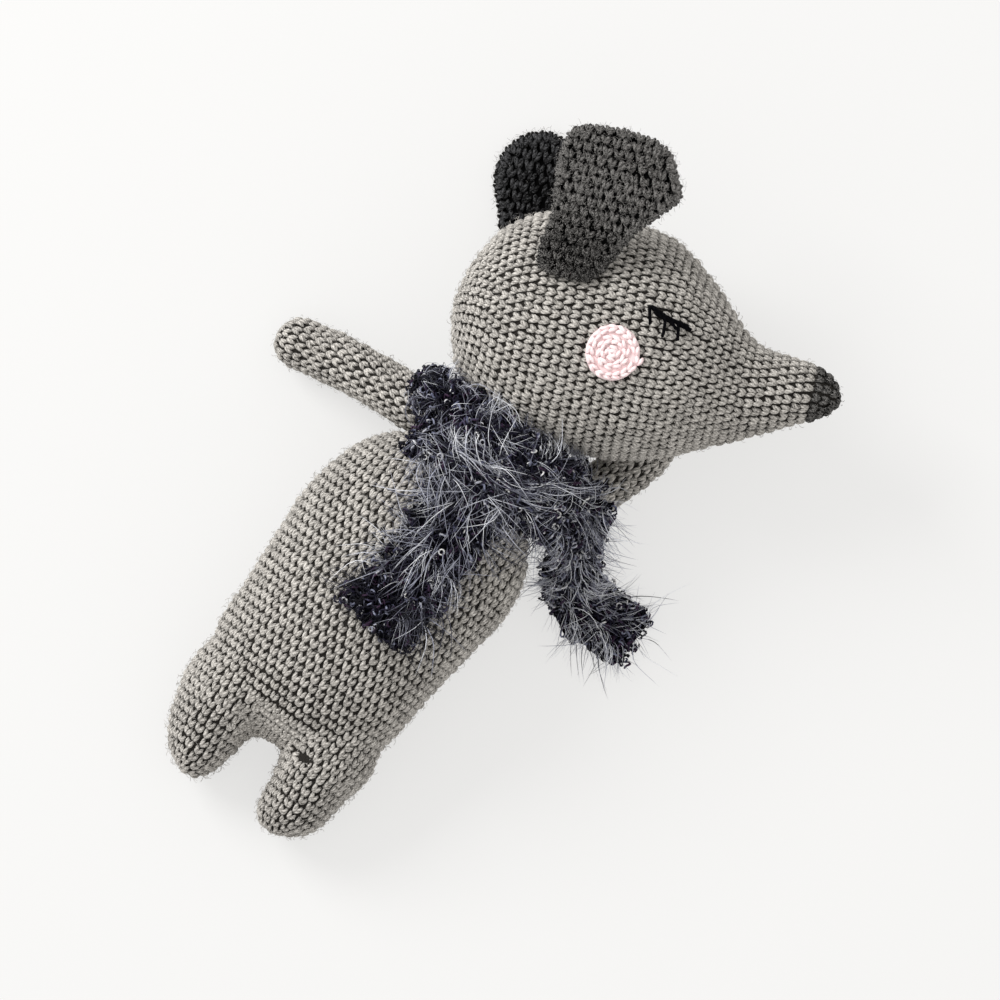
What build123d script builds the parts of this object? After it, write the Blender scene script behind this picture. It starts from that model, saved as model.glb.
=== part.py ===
from build123d import *
import math
import os

# A crocheted toy animal lying on its back with its head turned to its left.
# Frame: origin at the middle of the flat patch under the back, +Y from the feet
# to the head, +Z up through the belly. "Right" and "left" are the animal's own,
# so its right arm points to -X. All sizes are in millimetres.

fabric = 3.0  # thickness of the crocheted cover
gap = 0.5  # clearance between bodies that move apart
neck_x, neck_z = 3.0, 55.0  # the neck's axis is parallel to Y through this point
neck_y = 113.0  # flat meeting plane of head and neck
neck_radius = 19.0
large = 1000.0  # side of the boxes that cut the shapes, larger than the toy
head_centre = Vector(neck_x, 163.6, neck_z)
snout_turn = 22.3  # the snout points this many degrees from +X towards +Y
snout_start, muzzle_start = 50.0, 80.0  # along the snout, where the head narrows
nose_start = 113.0  # along the snout, where the grey fabric changes to charcoal
legs_start = -62.0  # along the body, where the two legs part
arm_radius = 12.0

# A soft shape is a row of ellipses across an axis:
# place along the axis, sideways shift, height, half width, half height.
torso_rows = [
    (-66, -2, 20, 10, 10),
    (-60, -1.5, 23, 26, 20),
    (-50, -1.5, 27, 40, 29),
    (-35, -1.5, 32, 49, 35.5),
    (-18, -0.5, 34.5, 50.3, 38),
    (0, 0, 36, 51.6, 39.5),
    (20, 1, 37, 53.5, 40.5),
    (38, 2, 37, 55, 40.5),
    (53, 3, 37.5, 53.5, 40),
    (66, 3, 39, 49.5, 38.5),
    (80, 3, 42.5, 40.5, 34.5),
    (90, 3, 46, 31.5, 30),
    (100, neck_x, 50.5, 24, 24.5),
    (107, neck_x, 54, 20, 20.5),
    (neck_y - gap, neck_x, neck_z, neck_radius, neck_radius),
]
torso_low_end = (-68, -2, 20)
right_leg_rows = [
    (-30, -24, 30, 24, 26),
    (-48, -26, 27, 24, 27),
    (-62, -27, 24, 22.5, 26),
    (-75, -27, 21.5, 19.5, 23),
    (-86, -26, 19.5, 16.5, 19.5),
    (-94, -23.8, 18, 11.8, 14),
    (-98.6, -22, 17, 6, 7.5),
]
right_leg_end = (-101, -21.5, 17)
left_leg_rows = [
    (-30, 25, 30, 24, 26),
    (-48, 26.5, 27, 23, 27),
    (-62, 27.5, 24, 20.5, 26),
    (-75, 28.5, 21.5, 17.5, 23),
    (-86, 28.5, 19.5, 16, 19.5),
    (-94, 26, 18, 11.8, 14),
    (-98.6, 25, 17, 6, 7.5),
]
left_leg_end = (-101, 25.5, 17)
head_rows = [
    (-52, 0, 0, 6.5, 6.5),
    (-50, 0, 0, 16, 15.5),
    (-46, 0, 0, 27, 26),
    (-39, 0.3, 0, 37.5, 36),
    (-28, 0.3, 0, 47, 45.3),
    (-14, 0, 0, 52.6, 50.7),
    (2, 0, 0, 54, 52),
    (20, 0, 0, 53.7, 51.8),
    (34, 0, 0.6, 52.6, 50.6),
    (46, -1.2, 1.6, 48.6, 47),
    (58, -3.6, 3, 42, 40.5),
    (69, -5.5, 4.2, 34.6, 33.4),
    (80, -8.5, 5.6, 26.5, 25.6),
    (94, -7.9, 7.2, 20.5, 20),
    (108, -4.6, 8.5, 16.3, 16),
    (116, -3.2, 9, 12.8, 12.6),
    (123, -2.5, 9.2, 8.2, 8.2),
    (126.5, -2.3, 9.2, 3.5, 3.5),
]

# Each arm is a tube of even radius along its middle line, round at both ends.
right_arm_line = [(-31.5, 97, 43), (-46, 96.4, 34), (-64, 94.8, 24), (-80, 92.2, 16), (-91.6, 89.8, 12.6)]
left_arm_line = [(36, 93, 40), (46, 99.5, 29), (55, 110, 19), (61, 126, 14), (65, 142.5, 12.6)]
arm_bends = 14.0  # radius of the middle line's bends
left_arm_turns = (-9, -18, -27, -35)  # degrees about Z that the body leaves room for

# Ears lie flat beside the head, outlines in the head's own plane as
# (along the snout, across towards the crown).
ear_back, ear_lining = 2.2, 1.8  # thickness of the marled layer and of the black layer
right_ear_outline = [
    (-19, 25), (-18.5, 49), (-20.5, 76), (-15, 89), (8, 92), (26, 88), (33, 74),
    (37.5, 65), (23, 50), (9, 26), (-1, 21.5),
]
left_ear_outline = [
    (-36, 30), (-42.5, 47), (-47.5, 62), (-44, 77), (-30, 86.5), (-14, 82), (-5, 66),
    (-6, 46), (-14, 28), (-25, 25),
]
right_ear_height = 50.0  # of its inner face above the head's middle
left_ear_height = 47.8
cheek_place, cheek_radius, cheek_rise = (22.4, -5.7), 13.0, 2.4
thread_rise, thread_width = 1.0, 1.7
eye_strokes = [  # closed lid, then three lashes, in the head's own plane
    [(34.5, 19), (42.7, 16.1), (53.5, 13.7)],
    [(36, 18.3), (37.8, 11.7)],
    [(42.9, 16), (43.6, 7.5)],
    [(49, 14.7), (50, 7.3)],
]

scarf_rise = 8.0  # thickness of the furry scarf as it lies
belly_top = 78.1  # the belly's height with clearance
shoulder_top = 57.5  # above both arms' upper sides
roll_low, chest_low = 96.0, 78.0  # along the body, where the roll and the crossing start
scarf_tail_width = 40.0
side_tail_width = 27.0
side_tail_thickness = 7.0
roll_wide, roll_high = 43.0, 40.0  # half sizes of the roll over the chest side
roll_hollow = 28.5  # radius of the room inside it
back_roll_radius, back_roll_low = 32.0, 110.5
roll_top = 122.0  # along the body, where the roll ends under the head
arch_wide, arch_high, arch_centre = 50.0, 44.0, 42.0  # half sizes of the crossing and its centre's height
seam_rise, seam_width, seam_below = 2.4, 1.8, 1.6  # the yarn that sews the head on
smallest_row = 3.0  # ellipses below this half size are left out of an inner shape


def moved_in(rows, first_end, inset):
    """Rows and the pointed end of a soft shape that lies the inset inside the given one."""
    low = first_end[0] if first_end else rows[0][0]
    high = rows[-1][0]
    middle = (low + high) / 2
    squeeze = 1 - 2 * inset / (high - low)
    rows = [
        (middle + (place - middle) * squeeze, across, up, wide - inset, high_half - inset)
        for place, across, up, wide, high_half in rows
        if min(wide, high_half) - inset > smallest_row
    ]
    return rows, first_end and (middle + (first_end[0] - middle) * squeeze, *first_end[1:])


def soft_shape(base, rows, first_end=None, inset=0.0):
    """Lofts ellipses across the base plane's Z; its X is sideways and its Y is up."""
    rows, first_end = moved_in(rows, first_end, inset)
    sections = [
        base * Pos(across, up, place) * Ellipse(wide, high)
        for place, across, up, wide, high in rows
    ]
    if first_end:
        place, across, up = first_end
        sections.insert(0, Vertex(*base.from_local_coords(Vector(across, up, place))))
    return loft(sections)


# Rows of the torso run along +Y. With Z of the plane along +Y and its X along -X, its Y is up,
# so the sideways shifts are negated.
body_plane = Plane(origin=(0, 0, 0), x_dir=(-1, 0, 0), z_dir=(0, 1, 0))
snout = Vector(math.cos(math.radians(snout_turn)), math.sin(math.radians(snout_turn)), 0)
crown = Vector(-snout.Y, snout.X, 0)
head_plane = Plane(origin=head_centre, x_dir=crown, z_dir=snout)
# The same place seen in the head's flat middle plane: X along the snout, Y to the crown, Z up.
face_plane = Plane(origin=head_centre, x_dir=snout, z_dir=(0, 0, 1))


def mirrored(rows):
    return [(place, -across, *rest) for place, across, *rest in rows]


def above(height, part):
    """Cuts away what lies below a height."""
    return part & Pos(0, 0, height + large / 2) * Box(large, large, large)


def torso(inset=0.0):
    rows, end = mirrored(torso_rows), mirrored([torso_low_end])[0]
    return soft_shape(body_plane, rows, end, inset)


def leg(rows, end, inset=0.0):
    """A leg's rows run towards -Y, so they are lofted from the foot upwards."""
    return soft_shape(body_plane, mirrored(rows[::-1]), mirrored([end])[0], inset)


def upper_arm_room(line, turn, inset):
    """Space for an arm's first straight length when the arm is turned about its shoulder."""
    shoulder = Vector(*line[0])
    upper = (Vector(*line[1]) - shoulder).rotate(Axis.Z, turn)
    base = Plane(origin=shoulder + upper / 2, z_dir=upper)
    return base * Cylinder(arm_radius + 3 * gap + inset, upper.length)


def trunk(inset=0.0):
    """Torso and both stub legs as one soft shape, flat where it rests, dented by the arms."""
    whole = torso(inset) + leg(right_leg_rows, right_leg_end, inset)
    whole += leg(left_leg_rows, left_leg_end, inset)
    for line in (right_arm_line, left_arm_line):
        whole -= Pos(*line[0]) * Sphere(arm_radius + gap + inset)
    for turn in left_arm_turns:
        whole -= upper_arm_room(left_arm_line, turn, inset)
    return above(inset, whole)


def head(inset=0.0):
    whole = soft_shape(head_plane, head_rows, inset=inset)
    return whole & Pos(0, neck_y + inset + large / 2, 0) * Box(large, large, large)


def snout_room(start):
    """All that lies further along the snout than the start."""
    return head_plane * Pos(0, 0, start + large / 2) * Box(large, large, large)


def arm(line, inset=0.0):
    """A tube along the arm's middle line, round at both ends."""
    path = FilletPolyline(*line, radius=arm_bends)
    section = Plane(origin=path @ 0, z_dir=path % 0) * Circle(arm_radius - inset)
    tube = sweep(section, path=path)
    return tube + [Pos(*end) * Sphere(arm_radius - inset) for end in (line[0], line[-1])]


def head_sweep(room):
    """Everything the turning head can reach above the neck, as a revolved outline."""
    points = []
    for place, across, _, wide, _ in head_rows[4:12]:
        low = head_centre + snout * place + crown * (across - wide)
        points.append((low.X - neck_x, low.Y - room))
    points = [point for point in points if point[0] > neck_radius]
    side = [(0, neck_y - room)] + [(neck_radius, neck_y - room)] + points
    far = side[-1][0]
    outline = Polyline(*side, (far, large), (0, large), close=True)
    flat = make_face(outline)
    return Pos(neck_x, 0, neck_z) * revolve(flat, Axis.Y)


def ear(outline, height, thickness, up):
    """A flat petal with rounded corners, standing on a height in the head's frame."""
    flat = make_face(Spline(*outline, periodic=True))
    return face_plane * Pos(0, 0, height) * extrude(flat, amount=thickness if up else -thickness)


def draped_patch(flat, rise, up):
    """What a flat outline cuts from a skin that lies on the head, on one side."""
    column = face_plane * extrude(flat, amount=large if up else -large)
    skin = head(-rise) - head()
    return skin & column


def thread_outline():
    """Stitched lid and lashes as one flat outline of round-ended strokes."""
    strokes = None
    for points in eye_strokes:
        for start, end in zip(points, points[1:]):
            a, b = Vector(*start), Vector(*end)
            turn = math.degrees(math.atan2((b - a).Y, (b - a).X))
            bar = Pos(*((a + b) / 2)) * Rot(0, 0, turn) * Rectangle((b - a).length, thread_width)
            pieces = bar + Pos(*a) * Circle(thread_width / 2) + Pos(*b) * Circle(thread_width / 2)
            strokes = pieces if strokes is None else strokes + pieces
    return strokes


def ribbon(places, width_dir, width, thickness):
    """A straight-sided band through places, as a loft of rectangles."""
    sections = []
    for i, place in enumerate(places):
        before, after = places[max(i - 1, 0)], places[min(i + 1, len(places) - 1)]
        plane = Plane(origin=place, x_dir=width_dir, z_dir=after - before)
        sections.append(plane * Rectangle(width, thickness))
    return loft(sections, ruled=True)


def slab(low, high):
    """A box between two corners."""
    size = Vector(*high) - Vector(*low)
    return Pos(*((Vector(*low) + Vector(*high)) / 2)) * Box(size.X, size.Y, size.Z)


def across_body(centre, wide, high, low_y, high_y):
    """An upright elliptic bar along Y, centred on (x, z)."""
    base = Plane(origin=(centre[0], high_y, centre[1]), x_dir=(1, 0, 0), z_dir=(0, -1, 0))
    return extrude(base * Ellipse(wide, high), amount=high_y - low_y)


def write(name, part):
    """Writes the part's one solid, without any slivers a cut may have left."""
    solid = max(part.solids(), key=lambda each: each.volume)
    solid.label = name
    export_step(solid, os.path.join("parts", name + ".step"))
    print(name, round(solid.volume), "mm3")


os.makedirs("parts", exist_ok=True)

# Body: a crocheted cover, here parted into torso and two legs, and its filling.
body_outer, body_inner = trunk(), trunk(fabric)
body_skin = body_outer - body_inner
legs_room = Pos(0, legs_start - large / 2, 0) * Box(large, large, large)
right_side, left_side = (Pos(side * large / 2, 0, 0) * Box(large, large, large) for side in (-1, 1))
write("body_cover", body_skin - legs_room)
write("leg_right_cover", body_skin & legs_room & right_side)
write("leg_left_cover", body_skin & legs_room & left_side)
write("body_filling", body_inner)
seam_outer = Pos(neck_x, neck_y - seam_below, neck_z) * Rot(90, 0, 0) * Cylinder(
    neck_radius + seam_rise, seam_width)
write("neck_seam", seam_outer - torso(-0.02))

# Head: grey cover in three lengths along the snout, charcoal nose, filling.
head_outer, head_inner = head(), head(fabric)
head_skin = head_outer - head_inner
write("head_cover", head_skin - snout_room(snout_start))
write("snout_cover", (head_skin & snout_room(snout_start)) - snout_room(muzzle_start))
write("muzzle_cover", (head_skin & snout_room(muzzle_start)) - snout_room(nose_start))
write("nose_tip", head_skin & snout_room(nose_start))
write("head_filling", head_inner)

# Arms: cover and filling each.
for side, line in (("right", right_arm_line), ("left", left_arm_line)):
    arm_inner = arm(line, fabric)
    write(f"arm_{side}_cover", arm(line) - arm_inner)
    write(f"arm_{side}_filling", arm_inner)

# Ears: a marled layer outside and a black layer towards the head's middle.
write("ear_right_lining", ear(right_ear_outline, right_ear_height, ear_lining, True))
write("ear_right_back", ear(right_ear_outline, right_ear_height + ear_lining, ear_back, True))
write("ear_left_lining", ear(left_ear_outline, -left_ear_height, ear_lining, False))
write("ear_left_back", ear(left_ear_outline, -left_ear_height - ear_lining, ear_back, False))

# Cheeks and stitched eyes on both sides of the head.
cheek_flat = Pos(*cheek_place) * Circle(cheek_radius)
eye_flat = thread_outline()
for side, up in (("right", True), ("left", False)):
    write(f"cheek_{side}", draped_patch(cheek_flat, cheek_rise, up))
    write(f"eye_{side}", draped_patch(eye_flat, thread_rise, up))

# Scarf: rolled round the neck, crossed over the chest, one tail down the belly and one
# over the left side to the floor. It keeps clear of all that the turning head can reach.
over_shoulders = slab((-large, 0, shoulder_top), (large, large, large))
under_shoulders = slab((-large, 0, 0), (large, large, shoulder_top))
front_roll = across_body((neck_x + 3, neck_z), roll_wide, roll_high, roll_low, roll_top) & over_shoulders
front_roll -= across_body((neck_x, 48.5), roll_hollow, roll_hollow, roll_low - 1, roll_top + 1)
back_roll = across_body((neck_x, neck_z), back_roll_radius, back_roll_radius, back_roll_low, roll_top)
neck_room = across_body((neck_x, neck_z), neck_radius + 2.9, neck_radius + 2.9, 80, 150)
neck_wrap = front_roll + (back_roll & under_shoulders)
write("scarf_neck_wrap", neck_wrap - neck_room - head_sweep(gap + 0.3))

arch = across_body((neck_x, arch_centre), arch_wide, arch_high, chest_low, roll_low)
arch -= across_body((neck_x, arch_centre), arch_wide - side_tail_thickness, arch_high - scarf_rise,
                    chest_low - 1, roll_low + 1)
write("scarf_crossover", arch & over_shoulders)
front_low = (-13, 4, belly_top)
front_high = (front_low[0] + scarf_tail_width, chest_low - gap, belly_top + scarf_rise)
write("scarf_front_tail", slab(front_low, front_high))

hanging_line = [Vector(59, 91.5, 51), Vector(64.5, 82, 34), Vector(69, 73, 17), Vector(72, 66.5, 6)]
hanging = ribbon(hanging_line, Vector(0.81, 0.58, 0), side_tail_width, side_tail_thickness)
lying = slab((66, 52, gap), (112, 81, gap + side_tail_thickness))
write("scarf_side_tail", above(gap, hanging) + lying)
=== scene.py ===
import math
import bpy
import numpy as np
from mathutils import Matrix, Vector
from mathutils.bvhtree import BVHTree


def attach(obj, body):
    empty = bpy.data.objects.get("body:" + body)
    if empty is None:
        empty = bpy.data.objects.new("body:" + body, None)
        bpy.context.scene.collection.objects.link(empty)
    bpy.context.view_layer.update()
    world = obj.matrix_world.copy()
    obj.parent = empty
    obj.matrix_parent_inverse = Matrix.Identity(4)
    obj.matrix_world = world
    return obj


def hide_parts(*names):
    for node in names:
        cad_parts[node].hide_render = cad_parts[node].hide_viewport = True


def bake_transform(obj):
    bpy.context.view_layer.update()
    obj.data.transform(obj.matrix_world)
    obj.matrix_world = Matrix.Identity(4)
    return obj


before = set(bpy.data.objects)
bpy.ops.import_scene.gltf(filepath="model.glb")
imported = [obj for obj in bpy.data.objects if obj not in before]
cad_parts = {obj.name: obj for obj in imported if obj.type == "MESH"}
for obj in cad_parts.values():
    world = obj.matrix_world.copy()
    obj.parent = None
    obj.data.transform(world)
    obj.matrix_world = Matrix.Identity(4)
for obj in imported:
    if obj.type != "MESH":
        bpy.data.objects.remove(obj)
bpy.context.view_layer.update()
mm = 0.001
scene = bpy.context.scene
rng = np.random.default_rng(7)

# The toy lies on its back, its head turned to its left. All shapes below are worked out in millimetres.
pose = {
    "headMiddle": np.array([3.0, 163.6, 55.0]),
    "snoutTurn": math.radians(22.3),
}
snout = np.array([math.cos(pose["snoutTurn"]), math.sin(pose["snoutTurn"]), 0.0])
crown = np.array([-snout[1], snout[0], 0.0])
upward = np.array([0.0, 0.0, 1.0])


def unit(v):  # each vector divided by its own length
    return v / np.maximum(np.linalg.norm(v, axis=-1, keepdims=True), 1e-9)


def turns(count, shift=0):  # even angles round a circle, shifted by a share of one step
    return (np.arange(count) + shift) / count * 2 * np.pi


def runOf(path):  # length run along a path up to each of its points
    return np.concatenate([[0], np.cumsum(np.linalg.norm(np.diff(path, axis=0), axis=1))])


def lineAt(place, knots, points):  # straight interpolation in each coordinate
    return np.stack([np.interp(place, knots, points[:, i]) for i in range(points.shape[1])], -1)


def swept(angles, one, other):  # for each pair of directions: cos(angle) * one + sin(angle) * other
    return np.cos(angles)[None, :, None] * one[:, None] + np.sin(angles)[None, :, None] * other[:, None]


def headPoint(along, across, height):  # middle of the head + along the snout + towards the crown + up
    a, b, z = np.broadcast_arrays(np.asarray(along, float), across, height)
    return pose["headMiddle"] + a[..., None] * snout + b[..., None] * crown + z[..., None] * upward


rest = {"height": 0.1, "softness": 0.6}
strand = {"scale": 4.4, "shift": 50}


# Height above the table: unchanged from height + softness up, below that it dies away towards height.
def pressed(z):
    knee = rest["height"] + rest["softness"]
    sunk = rest["height"] + rest["softness"] * np.exp(np.minimum(z - knee, 0) / rest["softness"])
    return np.where(z < knee, sunk, z)


def addMesh(name, verts, faceSets, materials, uvSets=None, tone=None, depth=None, matIndex=None):
    mesh = bpy.data.meshes.new(name)
    verts = np.concatenate([verts[:, :2], pressed(verts[:, 2:])], axis=1)
    mesh.vertices.add(len(verts))
    mesh.vertices.foreach_set("co", (verts * mm).astype(np.float32).ravel())
    loops = np.concatenate([f.ravel() for f in faceSets]).astype(np.int32)
    totals = np.concatenate([np.full(len(f), f.shape[1]) for f in faceSets]).astype(np.int32)
    mesh.loops.add(len(loops))
    mesh.loops.foreach_set("vertex_index", loops)
    mesh.polygons.add(len(totals))
    mesh.polygons.foreach_set("loop_start", np.concatenate([[0], np.cumsum(totals)[:-1]]).astype(np.int32))
    mesh.polygons.foreach_set("loop_total", totals)
    mesh.polygons.foreach_set("use_smooth", np.ones(len(totals), bool))
    mesh.update(calc_edges=True)
    if uvSets is not None:
        layer = mesh.uv_layers.new(name="strand")
        places = np.concatenate([u.reshape(-1, 2) for u in uvSets])
        layer.uv.foreach_set("vector", places.astype(np.float32).ravel())
    for label, values in (("tone", tone), ("depth", depth)):
        values = np.full(len(verts), 0.5) if values is None else values
        mesh.attributes.new(label, "FLOAT", "POINT").data.foreach_set("value", values.astype(np.float32))
    for material in materials:
        mesh.materials.append(material)
    if matIndex is not None:
        mesh.polygons.foreach_set("material_index", matIndex.astype(np.int32))
    piece = bpy.data.objects.new(name, mesh)
    scene.collection.objects.link(piece)
    return piece


# Faces over rings of points: quads between neighbouring rings, a fan at the first point and one at the last.
def ringFaces(levels, count):
    k, m = np.meshgrid(np.arange(levels - 1), np.arange(count), indexing="ij")
    a, b = 1 + k * count + m, 1 + k * count + (m + 1) % count
    quads = np.stack([a, a + count, b + count, b], -1).reshape(-1, 4)
    m = np.arange(count)
    first = np.stack([np.zeros(count, int), 1 + m, 1 + (m + 1) % count], -1)
    last = 1 + (levels - 1) * count
    final = np.stack([np.full(count, last + count), last + (m + 1) % count, last + m], -1)
    return quads, first, final


# Tube round a path: each point of the path carries a ring of its radius, at right angles to the path,
# and the two ends are single points, so the tube is closed.
def tubeTemplate(path, radii, sides):
    path = np.asarray(path, float)
    tangent = unit(np.gradient(path, axis=0))
    side = unit(np.cross(tangent, upward + 1e-4))
    rise = np.cross(side, tangent)
    ring = swept(turns(sides), side[1:-1], rise[1:-1])
    rings = path[1:-1, None] + ring * np.asarray(radii, float)[1:-1, None, None]
    verts = np.concatenate([path[:1], rings.reshape(-1, 3), path[-1:]])
    quads, first, final = ringFaces(len(rings), sides)
    run = runOf(path)
    k, m = np.meshgrid(np.arange(len(rings) - 1), np.arange(sides), indexing="ij")
    u0, u1, v0, v1 = m / sides, (m + 1) / sides, run[1 + k], run[2 + k]
    uvQuads = np.stack([u0, v0, u0, v1, u1, v1, u1, v0], -1).reshape(-1, 4, 2)
    m = np.arange(sides)
    low, half, high = m / sides, (m + 0.5) / sides, (m + 1) / sides
    tip, start, end, tail = (np.full(sides, run[i]) for i in (0, 1, -2, -1))
    uvFirst = np.stack([half, tip, low, start, high, start], -1)
    uvLast = np.stack([half, tail, high, end, low, end], -1)
    return {"verts": verts, "quads": quads, "tris": np.concatenate([first, final]), "uvQuads": uvQuads,
            "uvTris": np.concatenate([uvFirst, uvLast]).reshape(-1, 3, 2)}


def joined(templates):  # several templates as one
    out = {k: [] for k in ("verts", "quads", "tris", "uvQuads", "uvTris")}
    start = 0
    for template in templates:
        for k in out:
            out[k].append(template[k] + start if k in ("quads", "tris") else template[k])
        start += len(template["verts"])
    return {k: np.concatenate(v) for k, v in out.items()}


def spotsAt(point, across, onward, outward, size):  # places whose width, length and rise are all the one size
    return {"point": point, "across": across, "onward": onward, "outward": outward,
            "width": size, "length": size, "rise": size}


# One copy of the template per place: point + x * width * across + y * length * onward + z * rise * outward.
# The pattern along the yarn is scaled by a stitch's size and starts at a random place.
def scatter(template, places, tone=None):
    shape = template["verts"]
    count, size = len(places["point"]), len(shape)
    verts = places["point"][:, None]
    for axis, (way, scale) in enumerate((("across", "width"), ("onward", "length"), ("outward", "rise"))):
        scales = np.broadcast_to(np.asarray(places[scale], float), (count,))
        verts = verts + (shape[None, :, axis] * scales[:, None])[..., None] * places[way][:, None]
    verts = verts.reshape(-1, 3)
    start = np.arange(count) * size
    quads = (template["quads"][None] + start[:, None, None]).reshape(-1, 4)
    tris = (template["tris"][None] + start[:, None, None]).reshape(-1, 3)
    shift = np.stack([np.zeros(count), rng.uniform(0, strand["shift"], count)], -1)[:, None, None]
    uvQuads = (template["uvQuads"][None] * [1, strand["scale"]] + shift).reshape(-1, 4, 2)
    uvTris = (template["uvTris"][None] * [1, strand["scale"]] + shift).reshape(-1, 3, 2)
    tone = rng.uniform(0, 1, count) if tone is None else tone
    low, high = shape[:, 2].min(), shape[:, 2].max()
    depth = np.tile((shape[:, 2] - low) / max(high - low, 1e-6), count)
    return {"verts": verts, "quads": quads, "tris": tris, "uvQuads": uvQuads, "uvTris": uvTris,
            "tone": np.repeat(tone, size), "depth": depth}


def pieceFrom(name, parts, materials):  # parts is a list of (scattered template, material number)
    whole = {k: [] for k in ("verts", "tone", "depth", "quads", "tris", "uvQuads", "uvTris")}
    numbers = {"quads": [], "tris": []}
    start = 0
    for part, number in parts:
        for k in whole:
            whole[k].append(part[k] + start if k in numbers else part[k])
        for k in numbers:
            numbers[k].append(np.full(len(part[k]), number))
        start += len(part["verts"])
    whole = {k: np.concatenate(v) for k, v in whole.items()}
    return addMesh(name, whole["verts"], [whole["quads"], whole["tris"]], materials,
                   [whole["uvQuads"], whole["uvTris"]], whole["tone"], whole["depth"],
                   np.concatenate(numbers["quads"] + numbers["tris"]))


def newGroup(name, inputs, outputs):
    group = bpy.data.node_groups.new(name, "ShaderNodeTree")
    for label, kind, value in inputs:
        socket = group.interface.new_socket(label, in_out="INPUT", socket_type=kind)
        socket.default_value = value
    for label, kind in outputs:
        group.interface.new_socket(label, in_out="OUTPUT", socket_type=kind)
    return group, group.nodes.new("NodeGroupInput"), group.nodes.new("NodeGroupOutput")


def newMaterial(name, gloss):
    material = bpy.data.materials.new(name)
    material.use_nodes = True
    shader = material.node_tree.nodes["Principled BSDF"]
    shader.inputs["Specular IOR Level"].default_value = gloss
    return material, material.node_tree, shader


def attributeNode(tree, label):
    node = tree.nodes.new("ShaderNodeAttribute")
    node.attribute_name = label
    return node.outputs["Fac"]


def noiseNode(tree, scale):  # noise over the piece's own coordinates
    node = tree.nodes.new("ShaderNodeTexNoise")
    node.inputs["Scale"].default_value = scale
    tree.links.new(tree.nodes.new("ShaderNodeTexCoord").outputs["Object"], node.inputs["Vector"])
    return node


def bumped(tree, shader, height, strength, distance):
    lift = tree.nodes.new("ShaderNodeBump")
    lift.inputs["Strength"].default_value = strength
    lift.inputs["Distance"].default_value = distance
    tree.links.new(height, lift.inputs["Height"])
    tree.links.new(lift.outputs["Normal"], shader.inputs["Normal"])


def mathNode(tree, operation, a, b=None, clamp=False):
    node = tree.nodes.new("ShaderNodeMath")
    node.operation, node.use_clamp = operation, clamp
    for place, value in enumerate((a, b)):
        if value is None:
            continue
        if isinstance(value, (int, float)):
            node.inputs[place].default_value = value
        else:
            tree.links.new(value, node.inputs[place])
    return node.outputs[0]


def mixNode(tree, share, a, b, blend="MIX"):
    node = tree.nodes.new("ShaderNodeMix")
    node.data_type, node.blend_type = "RGBA", blend
    for socket, value in ((node.inputs[0], share), (node.inputs[6], a), (node.inputs[7], b)):
        if isinstance(value, (int, float, tuple)):
            socket.default_value = value
        else:
            tree.links.new(value, socket)
    return node.outputs[2]


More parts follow.
